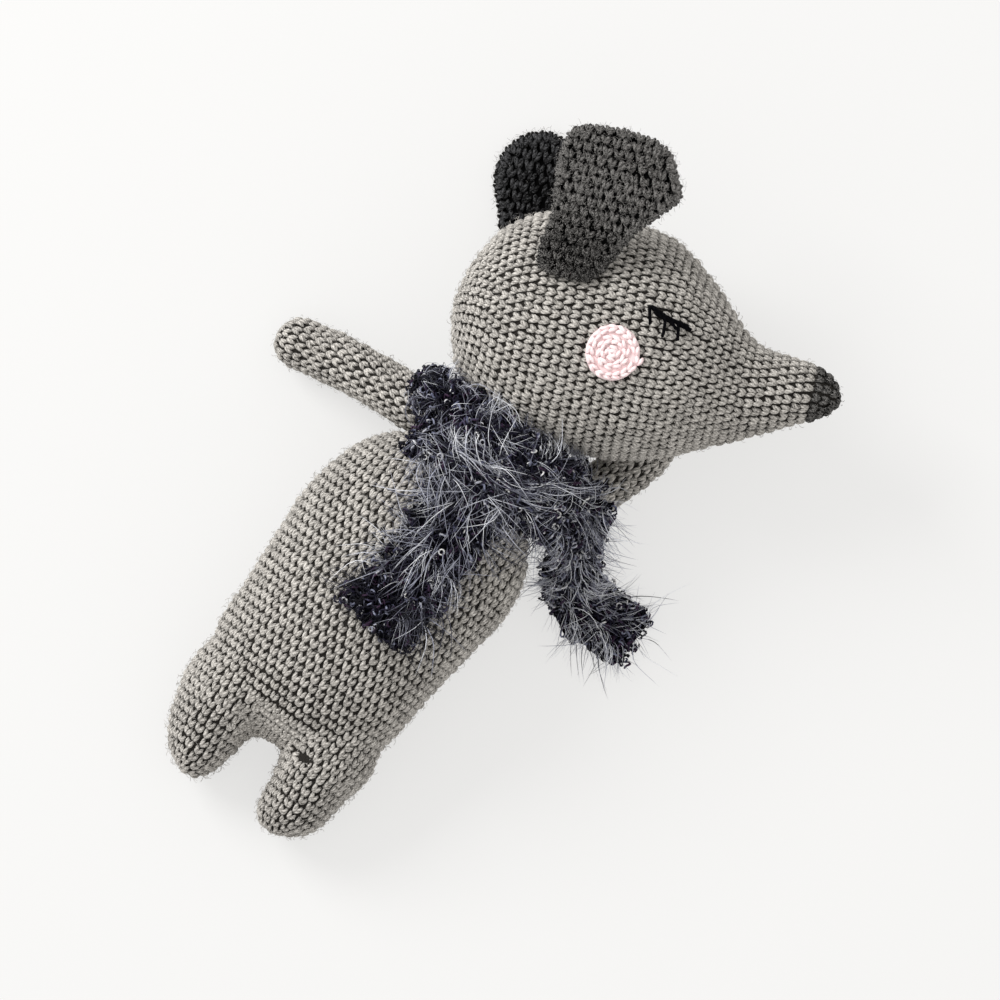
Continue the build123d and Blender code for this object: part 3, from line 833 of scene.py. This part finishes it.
for side, ear in ears.items():
    outline, _ = evenly(smoothOutline(ear["outline"]), 120)
    centre = outline.mean(axis=0)
    inner = shrunk(outline, earShape["inset"])
    midHeight = (ear["top"] + ear["bottom"]) / 2
    surface = lambda p, m=midHeight, c=centre, s=side, f=outline[:, 1].min(): earHeight(p, c, s, m, f)
    layers = {
        "back": {"up": ear["faceUp"], "yarn": [charcoalYarn, fuzzCharcoal], "slot": "charcoal_yarn",
                 "fuzz": 3000, "long": 2.2},
        "lining": {"up": not ear["faceUp"], "yarn": [blackYarn, fuzzCharcoal], "slot": "black_yarn",
                   "fuzz": 120, "long": 1.4},
    }
    for label, layer in layers.items():
        sign = 1 if layer["up"] else -1
        face = lambda p, f=surface, g=sign: f(p) + g * 1.0
        size = earShape["stitch"] if label == "back" else earShape["liningStitch"]
        places = placesOnFlat(outline, face, size, size, size * earShape["riseShare"], layer["up"], 2.2)
        rim = rimPlaces(outline, face, size, layer["up"], 2.0 if layer["up"] == (side == "right") else 2.9)
        both = {k: np.concatenate([places[k], rim[k]]) for k in rim}
        # Painted shade: the back layer darkens towards the ear's foot, where it bends steeply, and the lining
        # darkens in its dish; the random part is the yarn's own tone.
        fromFoot = (both["point"] - pose["headMiddle"]) @ crown - outline[:, 1].min()
        footShare = np.clip(1 - fromFoot / 40.0, 0, 1)
        fromMiddle = np.linalg.norm(both["point"][:, :2] - headPoint(centre[0] + 6, centre[1], 0)[:2], axis=1)
        hollowShade = earShape["hollowPaintedShade"] * np.exp(-(fromMiddle / 20.0) ** 2)
        paintedEarShade = earShape["footPaintedShade"] * footShare if label == "back" else hollowShade
        shade = rng.uniform(0, 1.2, len(fromFoot)) - paintedEarShade
        both["shade"] = shade
        piece = pieceFrom("ear%s%s" % (side.capitalize(), label.capitalize()),
                          [(scatter(stitch, both, shade), 0),
                           fuzzOn(both, layer["fuzz"], layer["long"], 1, 0.05, 0.35)],
                          layer["yarn"])
        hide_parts("ear_%s_%s" % (side, label))
        layer["piece"] = piece
    # The ear's core is near-black painted shade between its layers.
    pad = padFrom("ear%sCore" % side.capitalize(), inner, surface, earShape["thickness"], blackGapShade)
    start, end = (headPoint(ear["foot"][0], ear["foot"][1] + past, ear["bottom"]) for past in (-1.0, 9.0))
    for piece in (layers["back"]["piece"], layers["lining"]["piece"], pad):
        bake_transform(piece)
print("ears stitched")


def onHead(flat, up, lift):  # points of the head's flat plane on its skin, lifted along the normal
    way = 1 if up else -1
    hits = headHits(flat, way)
    points = np.array([h[0] for h in hits], float)
    normals = np.array([h[1] for h in hits], float)
    normals = normals * np.sign(normals[:, 2:3] * way)
    return points + normals * lift, normals


cheeks = {"middle": (22.4, -5.7), "radius": 12.6, "rounds": [(1.7, 4), (5.7, 10), (10.1, 17)], "lift": 2.3}


# Spiral disc: rounds of stitches at growing radius, their tops along the round; between them a domed base.
def cheekPieces(side, up):
    middle = np.array(cheeks["middle"])
    flats, tangents = [], []
    for number, (radius, count) in enumerate(cheeks["rounds"]):
        turn = turns(count, 0.4 * number)
        grow = radius + 0.35 * np.sin(3 * turn + number)
        if number == len(cheeks["rounds"]) - 1:
            grow = grow + 1.6 * np.exp(-((np.angle(np.exp(1j * (turn + 0.1)))) / 0.16) ** 2)
        flats.append(middle + np.stack([grow * np.cos(turn), grow * np.sin(turn)], -1))
        tangents.append(np.stack([-np.sin(turn), np.cos(turn)], -1))
    flat, tangent = np.concatenate(flats), np.concatenate(tangents)
    points, normals = onHead(flat, up, cheeks["lift"])
    along = tangent[:, :1] * snout + tangent[:, 1:] * crown
    along = unit(along - np.sum(along * normals, axis=1, keepdims=True) * normals)
    across = np.cross(along, normals)
    count = len(flat)
    spots = {"point": points, "across": across, "onward": along, "outward": normals,
             "width": 4.4 * rng.uniform(0.9, 1.1, count), "length": 4.0 * rng.uniform(0.95, 1.12, count),
             "rise": 3.2 * rng.uniform(0.8, 1.15, count)}
    radii, sides = np.linspace(0, cheeks["radius"] - 0.6, 8)[1:, None], 48
    rings = middle + np.stack([radii * np.cos(turns(sides)), radii * np.sin(turns(sides))], -1)
    base = np.concatenate([middle[None], rings.reshape(-1, 2)])
    verts = np.concatenate([onHead(base, up, lift)[0] for lift in (cheeks["lift"] - 0.3, 0.6)])
    size, edge = len(base), 1 + (len(radii) - 1) * sides
    quads, fanFaces, _ = ringFaces(len(radii), sides)
    m, n = np.arange(sides), (np.arange(sides) + 1) % sides
    wall = np.stack([edge + m, edge + size + m, edge + size + n, edge + n], -1)
    allQuads = np.concatenate([quads, quads[:, ::-1] + size, wall])
    allTris = np.concatenate([fanFaces, fanFaces[:, ::-1] + size])
    if not up:
        allQuads, allTris = allQuads[:, ::-1].copy(), allTris[:, ::-1].copy()
    base = {"verts": verts, "quads": allQuads, "tris": allTris, "uvQuads": np.zeros((len(allQuads), 4, 2)),
            "uvTris": np.zeros((len(allTris), 3, 2)), "tone": np.full(len(verts), 0.3),
            "depth": np.full(len(verts), 0.7)}
    piece = pieceFrom("cheek" + side.capitalize(), [(scatter(stitch, spots), 0), (base, 0)],
                      [pinkYarn])
    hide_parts("cheek_" + side)
    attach(piece, "head")


eyes = {
    "lid": [[(32.2, 17.2), (40.5, 13.7), (45.4, 12.7), (51.8, 11.7)],
            [(45.3, 13.0), (48.8, 11.4), (52.2, 10.7)], [(35.5, 15.0), (40.4, 12.7), (43.0, 12.4)]],
    "lashes": [[(33.4, 16.6), (34.4, 12.8), (35.2, 9.0)], [(40.7, 13.7), (41.2, 9.8), (41.4, 5.0)],
               [(46.2, 12.7), (47.1, 9.3), (47.8, 4.9)], [(41.4, 13.2), (44.0, 11.6), (46.4, 9.4)]],
    "thread": {"lid": 1.0, "lashes": 0.74}, "lift": 4.5,
}


def eyePiece(side, up):
    tubes = []
    strokes = [(stroke, eyes["thread"][kind]) for kind in ("lid", "lashes") for stroke in eyes[kind]]
    for stroke, thread in strokes:
        stroke = np.array(stroke, float)
        t = np.linspace(0, len(stroke) - 1, 14)
        flat = lineAt(t, np.arange(len(stroke)), stroke)
        points, normals = onHead(flat, up, eyes["lift"])
        sink = np.concatenate([[1.4, 0.3], np.zeros(11), [1.2]])
        path = points - normals * sink[:, None]
        tube = tubeTemplate(path, np.full(14, thread), 8)
        tube["tone"] = np.full(len(tube["verts"]), 0.3)
        tube["depth"] = np.full(len(tube["verts"]), 1.0)
        tubes.append((tube, 0))
    piece = pieceFrom("eye" + side.capitalize(), tubes, [eyeThread])
    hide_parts("eye_" + side)
    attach(piece, "head")


for side, up in (("right", True), ("left", False)):
    cheekPieces(side, up)
    eyePiece(side, up)
print("face sewn")

seam = {"radius": 20.2, "level": 111.4, "stitches": 30, "yarn": 0.75}
turn = turns(seam["stitches"])
round3 = np.stack([np.cos(turn), np.zeros_like(turn), np.sin(turn)], -1)
seamPlaces = {"point": np.array([3.0, seam["level"], 55.0]) + seam["radius"] * round3,
              "across": np.stack([-np.sin(turn), np.zeros_like(turn), np.cos(turn)], -1),
              "onward": np.broadcast_to([0.0, 1.0, 0.0], (len(turn), 3)), "outward": round3,
              "width": 4.0, "length": 1.6, "rise": 2.0}
seamPiece = pieceFrom("neckSeam", [(scatter(stitch, seamPlaces), 0)], [greyYarn])
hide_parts("neck_seam")
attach(seamPiece, "root")

# Scarf: one furry strip, as four lengths of cloth with loops, curls and long hair.
scarfYarn = yarnMaterial("scarfYarn", (0.001, 0.001, 0.002), (0.006, 0.006, 0.011), footShade=0.3, bump=0.3,
                         sheen=0.0, gloss=0.05)


def tonedMaterial(name, stops, roughness, gloss):  # colour picked along a ramp by each strand's own tone
    material, tree, shader = newMaterial(name, gloss)
    ramp = tree.nodes.new("ShaderNodeValToRGB")
    for element, (place, colour) in zip(ramp.color_ramp.elements, (stops[0], stops[-1])):
        element.position = place
        element.color = (*colour, 1)
    for place, colour in stops[1:-1]:
        element = ramp.color_ramp.elements.new(place)
        element.color = (*colour, 1)
    noise = noiseNode(tree, 700.0)
    uneven = mathNode(tree, "MULTIPLY", mathNode(tree, "SUBTRACT", noise.outputs[0], 0.5), 0.35)
    share = mathNode(tree, "ADD", attributeNode(tree, "tone"), uneven, clamp=True)
    tree.links.new(share, ramp.inputs[0])
    tree.links.new(ramp.outputs[0], shader.inputs["Base Color"])
    rough = mathNode(tree, "ADD", roughness, mathNode(tree, "MULTIPLY", noise.outputs[0], 0.15))
    tree.links.new(rough, shader.inputs["Roughness"])
    bumped(tree, shader, noise.outputs[0], 0.25, 0.0003)
    return material


loopYarn = tonedMaterial("scarfLoops", [
    (0.0, (0.001, 0.001, 0.003)), (0.42, (0.010, 0.009, 0.022)), (0.56, (0.040, 0.018, 0.040)),
    (0.66, (0.06, 0.065, 0.11)), (0.82, (0.25, 0.26, 0.34)), (1.0, (0.80, 0.79, 0.77))], 0.45, 0.12)
hairYarn = tonedMaterial("scarfHair", [
    (0.0, (0.003, 0.003, 0.006)), (0.35, (0.055, 0.056, 0.080)), (0.7, (0.33, 0.34, 0.41)),
    (1.0, (0.86, 0.87, 0.90))], 0.38, 0.25)


# Cloth surfaces are functions of two shares: u across the strip and v along it.
def rollSurface(u, v):  # an arch over the neck from shoulder to shoulder: circle in X and Z, u along Y
    angle = np.radians(172 - 178 * v)
    swell = 1.0 + 0.05 * np.sin(9 * v + 2 * u)
    y = 97.0 + 17.6 * u + 1.0 * np.sin(5 * v + 1) + 5.5 * v**3
    round2 = 1 - 0.16 * (2 * u - 1) ** 2
    x = 6.5 + 42 * swell * round2 * np.cos(angle)
    return np.stack([x, y, 55 + 36.5 * swell * round2 * np.sin(angle)], -1)


def crossSurface(u, v):  # over the chest: a flatter arch that widens to its left end over the arm
    angle = np.radians(120 - 98 * v)
    low, high = 78.0 + 5.0 * v**3, 98.0 + 20.0 * v**2
    y = low + (high - low) * u + 1.5 * np.sin(6 * v)
    swell = 1.0 + 0.03 * np.sin(8 * v + 3 * u)
    return np.stack([4.0 + 57 * swell * np.cos(angle), y, 42 + 43.5 * swell * np.sin(angle)], -1)


def frontSurface(u, v):  # belly tail: follows the belly's crown, slightly waved, with an uneven edge
    y = 84.0 - 79.0 * v + 1.5 * np.sin(5 * u + 1)
    centre = 10.5 - 2.0 * v + 2.2 * np.sin(3 * v)
    half = 19.5 - 2.0 * np.sin(np.pi * v) - 1.5 * v + 0.9 * np.sin(21 * v) + 0.7 * np.sin(37 * v + 1)
    x = centre + half * (2 * u - 1)
    z = 79.8 + 1.6 * np.sin(7 * v + 3 * u) - 3.4 * (2 * u - 1) ** 2 + 2.2 * np.exp(-((v - 0.03) / 0.12) ** 2)
    return np.stack([x, y, z], -1)


sideLine = np.array([(55, 106, 58), (60, 96, 50), (64, 86, 36), (66.5, 77, 21), (70, 70, 9), (80, 67, 5.2),
                     (95, 67.5, 4.8), (110, 67, 4.6)], float)


def sideSurface(u, v):  # side tail: a band along a line down the flank and over the floor, waved across
    t = np.linspace(0, 1, 60)
    knots = np.linspace(0, 1, len(sideLine))
    dense = lineAt(t, knots, sideLine)
    for _ in range(6):
        dense[1:-1] = (dense[:-2] + 2 * dense[1:-1] + dense[2:]) / 4
    line = lineAt(v, t, dense)
    way = lineAt(v, t, np.gradient(dense, axis=0))
    early = np.broadcast_to(unit(np.array([0.81, 0.58, 0.0])), line.shape)
    late = np.broadcast_to(np.array([0.0, 1.0, 0.0]), line.shape)
    blend = np.clip((v - 0.45) / 0.25, 0, 1)[..., None]
    wide = unit(early * (1 - blend) + late * blend)
    normal = unit(np.cross(wide, way))
    normal = normal * np.where(normal[..., 2:3] < 0, -1, 1)
    half = 11.5 + 3.5 * np.clip((v - 0.5) / 0.3, 0, 1) + 1.0 * np.sin(19 * v) + 0.6 * np.sin(33 * v + 2)
    half = half * (1 - 0.25 * np.clip((v - 0.93) / 0.07, 0, 1) ** 2)
    fold = 1.5 * np.sin(2.2 * np.pi * u + 1.0) + 0.9 * np.sin(11 * v + 2 * u)
    point = line + wide * (half * (2 * u - 1))[..., None] + normal * fold[..., None]
    point[..., 2] = np.maximum(point[..., 2], 2.2)  # clear of the floor
    return point


def clothPiece(name, surfaceOf, acrossCount, alongCount, thickness, material):
    u, v = np.meshgrid(np.linspace(0, 1, acrossCount), np.linspace(0, 1, alongCount), indexing="ij")
    middle = surfaceOf(u, v)
    du, dv = np.gradient(middle, axis=0), np.gradient(middle, axis=1)
    normal = unit(np.cross(du, dv))
    normal = normal * np.sign(normal[..., 2:3].mean() + 1e-9)
    verts = np.concatenate([(middle + way * normal * thickness / 2).reshape(-1, 3) for way in (1, -1)])
    size = acrossCount * alongCount
    i, j = np.meshgrid(np.arange(acrossCount - 1), np.arange(alongCount - 1), indexing="ij")
    a = i * alongCount + j
    quads = np.stack([a, a + alongCount, a + alongCount + 1, a + 1], -1).reshape(-1, 4)
    rim = np.concatenate([np.arange(alongCount), np.arange(1, acrossCount) * alongCount + alongCount - 1,
                          size - 2 - np.arange(alongCount - 1),
                          np.arange(acrossCount - 2, 0, -1) * alongCount])
    after = np.roll(rim, -1)
    wall = np.stack([rim, after, after + size, rim + size], -1)
    first = verts[quads[0]]
    facing = np.dot(np.cross(first[1] - first[0], first[2] - first[0]), normal[0, 0])
    if facing < 0:
        quads = quads[:, ::-1].copy()
    else:
        wall = wall[:, ::-1].copy()
    faces = np.concatenate([quads, quads[:, ::-1] + size, wall])
    piece = addMesh(name, verts, [faces], [material], [np.zeros((len(faces), 4, 2))])
    wide = np.linalg.norm(np.diff(middle, axis=0), axis=2).sum(axis=0).mean()
    long = np.linalg.norm(np.diff(middle, axis=1), axis=2).sum(axis=1).mean()
    return piece, wide, long


# Points of a cloth, with its two directions and its normal.
def clothPlaces(surfaceOf, count, both=False, u=None, v=None):
    if u is None:
        u, v = rng.uniform(-0.02, 1.02, count), rng.uniform(-0.01, 1.01, count)
    e = 0.004
    point = surfaceOf(u, v)
    du = unit(surfaceOf(u + e, v) - surfaceOf(u - e, v))
    dv = unit(surfaceOf(u, v + e) - surfaceOf(u, v - e))
    normal = unit(np.cross(du, dv))
    sign = np.sign(normal[:, 2:3].mean() + 1e-9)
    normal = normal * sign
    if both:
        normal = normal * np.where(rng.uniform(0, 1, (count, 1)) < 0.3, -1, 1)
    return point, du, dv, normal


# One small loop of yarn: most of a circle standing in the plane of outward and onward, slightly twisted.
def loopTemplate(spans=7, thickness=0.34, sides=4, opening=0.8):
    t = np.linspace(0.0, 1.0, spans + 2) * (2 * np.pi - opening) - np.pi / 2 + opening / 2
    path = np.stack([0.35 * np.sin(2 * t), np.cos(t), 0.75 + np.sin(t)], -1)
    return tubeTemplate(path, np.full(spans + 2, thickness), sides)


# One curl lies flat: a full turn and a little more, its end riding over its start.
def curlTemplate(spans=10, thickness=0.27, sides=5):
    t = np.linspace(0, 1, spans + 2)
    turn = t * 2.15 * np.pi
    path = np.stack([(1 - 0.18 * t) * np.cos(turn), (1 - 0.18 * t) * np.sin(turn), 0.55 * t], -1)
    return tubeTemplate(path, np.full(spans + 2, thickness), sides)


# One hair: starts along outward and bends over to onward, its tip curling sideways.
def hairTemplate(spans=6, thickness=0.012):
    t = np.linspace(0, 1, spans + 2)
    rise = 0.42 * np.sin(0.5 * np.pi * np.minimum(1, 1.6 * t)) - 0.18 * t**2
    path = np.stack([0.22 * t**2.2, t - 0.12 * np.sin(np.pi * t), rise], -1)
    return tubeTemplate(path, thickness * (1 - 0.75 * t), 3)


def turned(du, dv, normal, angle, tilt):  # directions in the cloth turned by an angle, then tipped by a tilt
    a, b = np.cos(angle)[:, None], np.sin(angle)[:, None]
    onward = unit(a * dv + b * du)
    across = unit(np.cross(onward, normal))
    c, s = np.cos(tilt)[:, None], np.sin(tilt)[:, None]
    outward = unit(c * normal + s * across)
    return unit(np.cross(onward, outward)), onward, outward


lengths = {
    "NeckWrap": {"surface": rollSurface, "grid": (16, 60), "loops": 1500, "curls": 60, "hair": 1300,
                 "hairLength": 9.0, "node": "scarf_neck_wrap", "body": ("root",), "both": False,
                 "flow": 0.8, "tones": (0.15, 1.0), "darkEnd": 0.0, "darkness": 2.0},
    "Crossover": {"surface": crossSurface, "grid": (14, 40), "loops": 1500, "curls": 60, "hair": 1250,
                  "hairLength": 10.0, "node": "scarf_crossover", "body": ("root",), "both": False,
                  "flow": 0.6, "tones": (0.15, 1.0), "darkEnd": 0.0, "darkness": 2.0},
    "FrontTail": {"surface": frontSurface, "grid": (20, 40), "loops": 1900, "curls": 30, "hair": 1500,
                  "hairLength": 11.0, "node": "scarf_front_tail",
                  "body": ("root", "scarf_front", (0.007, 0.081, 0.0861), (0.007, 0.069, 0.0861)), "both": True,
                  "flow": 0.4, "tones": (0.05, 1.0), "darkEnd": 0.85, "darkness": 2.0},
    "SideTail": {"surface": sideSurface, "grid": (18, 60), "loops": 1700, "curls": 44, "hair": 1500,
                 "hairLength": 10.0, "node": "scarf_side_tail",
                 "body": ("root", "scarf_side", (0.057, 0.095, 0.056), (0.0625, 0.0855, 0.041)), "both": True,
                 "flow": 0.3, "tones": (0.45, 1.1), "darkEnd": 0.0, "darkness": 1.3},
}
scarf = {
    "tuft": 7, "cloth": 3.0, "clearOfFloor": 0.5, "hair": hairTemplate(),
    "loops": {"shape": loopTemplate(), "lean": 0.7, "size": (0.75, 1.7), "height": (0.6, 3.4)},
    "curls": {"shape": curlTemplate(), "lean": 0.5, "size": (0.9, 1.5), "height": (2.4, 4.2)},
}


def strandsOn(cloth, label, toneOf):  # loops or curls, turned any way on a length of cloth
    rules, count = scarf[label], cloth[label]
    point, du, dv, normal = clothPlaces(cloth["surface"], count, cloth["both"])
    ways = turned(du, dv, normal, rng.uniform(0, 2 * np.pi, count), rng.normal(0, rules["lean"], count))
    size = rng.uniform(*rules["size"], count)
    spots = spotsAt(point + normal * rng.uniform(*rules["height"], (count, 1)), *ways, size)
    return scatter(rules["shape"], spots, toneOf(count))


def hairOn(cloth):  # the hairs of a tuft share their root, turn, tone and length, each a little off
    count = cloth["hair"]
    tufts = max(1, count // scarf["tuft"])
    tuft = rng.integers(0, tufts, count)
    tuftU, tuftV = rng.uniform(0, 1, tufts), rng.uniform(0, 1, tufts)
    tuftTurn = rng.normal(0, cloth["flow"], tufts)
    tuftTone, tuftLength = rng.uniform(*cloth["tones"], tufts), rng.lognormal(0, 0.3, tufts)
    tuftTone = tuftTone - cloth["darkEnd"] * np.clip((tuftV - 0.72) / 0.28, 0, 1)
    backwards = np.where(rng.uniform(0, 1, tufts) < 0.8, 0.9, -0.6)
    u = np.clip(tuftU[tuft] + rng.normal(0, 0.035, count), 0, 1)
    v = np.clip(tuftV[tuft] + rng.normal(0, 0.018, count), 0, 1)
    point, du, dv, normal = clothPlaces(cloth["surface"], count, cloth["both"], u, v)
    turn = np.arctan2((2 * tuftU[tuft] - 1) * 1.6, backwards[tuft]) + tuftTurn[tuft]
    turn = turn + rng.normal(0, 0.34, count)
    across, onward, outward = turned(du, dv, normal, turn, rng.normal(0, 0.35, count))
    size = cloth["hairLength"] * tuftLength[tuft] * rng.lognormal(0, 0.3, count)
    curlSide = np.where(rng.uniform(0, 1, tufts) < 0.5, -1.0, 1.0)[tuft][:, None]
    point = point + normal * rng.uniform(0.5, 2.5, (count, 1))
    spots = spotsAt(point, across * curlSide, onward, outward, np.minimum(size, 2.6 * cloth["hairLength"]))
    hair = scatter(scarf["hair"], spots, np.clip(tuftTone[tuft] + rng.normal(0, 0.12, count), 0, 1))
    hair["verts"][:, 2] = np.maximum(hair["verts"][:, 2], scarf["clearOfFloor"])
    return hair


for label, cloth in lengths.items():
    piece, wide, long = clothPiece("scarf" + label, cloth["surface"], *cloth["grid"], scarf["cloth"],
                                   scarfYarn)
    loops = strandsOn(cloth, "loops", lambda count: rng.beta(0.85, cloth["darkness"], count))
    curls = strandsOn(cloth, "curls", lambda count: rng.uniform(0.86, 1.0, count))
    loopPiece = pieceFrom("scarf%sLoops" % label, [(loops, 0), (curls, 0)], [loopYarn])
    hairPiece = pieceFrom("scarf%sHair" % label, [(hairOn(cloth), 0)], [hairYarn])
    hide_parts(cloth["node"])
    for part in (piece, loopPiece, hairPiece):
        if len(cloth["body"]) == 1:
            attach(part, cloth["body"][0])
        else:
            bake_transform(part)
    print("scarf", label, "cloth %.0f x %.0f mm" % (wide, long))

stageRules = {"floorColour": (0.22, 0.219, 0.216), "floorGlow": 0.645, "worldLight": 0.90,
              "keyPower": 60.0, "keySize": 1.2, "keyPlace": (-1.05, 0.95, 1.05), "keyDistance": 1.5,
              "view": (23.2, 84.3), "span": 450.0, "planeHeight": 45.0, "distance": 5.0}

half = 3.0  # metres from the middle of the floor to its edge
floorMesh = bpy.data.meshes.new("floor")
corners = [(-half, -half, 0), (half, -half, 0), (half, half, 0), (-half, half, 0)]
floorMesh.from_pydata(corners, [], [(0, 1, 2, 3)])
floorPiece = bpy.data.objects.new("floor", floorMesh)
scene.collection.objects.link(floorPiece)
paper, paperTree, paperShader = newMaterial("paperFloor", 0.05)
paperNoise = noiseNode(paperTree, 6.0)
paperDark = tuple(c * 0.985 for c in stageRules["floorColour"])
paperColour = mixNode(paperTree, paperNoise.outputs[0], (*paperDark, 1), (*stageRules["floorColour"], 1))
paperTree.links.new(paperColour, paperShader.inputs["Base Color"])
paperShader.inputs["Roughness"].default_value = 0.95
paperShader.inputs["Emission Color"].default_value = (1.0, 0.995, 0.985, 1)
paperShader.inputs["Emission Strength"].default_value = stageRules["floorGlow"]  # keeps the shadows light
floorMesh.materials.append(paper)

world = bpy.data.worlds.new("studio")
scene.world = world
world.use_nodes = True
world.node_tree.nodes["Background"].inputs[0].default_value = (1.0, 0.995, 0.985, 1)
world.node_tree.nodes["Background"].inputs[1].default_value = stageRules["worldLight"]

sideWay = np.array([0.815, 0.579, 0.0])
aheadWay = np.array([-0.579, 0.815, 0.0])
target = np.array([*stageRules["view"], stageRules["planeHeight"]]) * mm
keyLight = bpy.data.lights.new("window", "AREA")
keyLight.energy = stageRules["keyPower"]
keyLight.size = stageRules["keySize"]
keyLamp = bpy.data.objects.new("window", keyLight)
scene.collection.objects.link(keyLamp)
aside, ahead, above = stageRules["keyPlace"]
keyPlace = Vector(target + (sideWay * aside + aheadWay * ahead + upward * above) * stageRules["keyDistance"])
keyLamp.location = keyPlace
keyLamp.rotation_euler = (Vector(target) - keyPlace).to_track_quat("-Z", "Y").to_euler()

camera = bpy.data.cameras.new("overhead")
camera.sensor_width = 36.0
distance = stageRules["distance"]
camera.lens = 36.0 * distance / (stageRules["span"] * mm)
cameraPiece = bpy.data.objects.new("overhead", camera)
scene.collection.objects.link(cameraPiece)
cameraPiece.location = Vector(target + upward * distance)
cameraPiece.rotation_euler = (0, 0, math.atan2(sideWay[1], sideWay[0]))
camera.clip_end = 20
scene.camera = cameraPiece
scene.view_settings.view_transform = "Standard"
scene.view_settings.look = "None"
print("stage set")
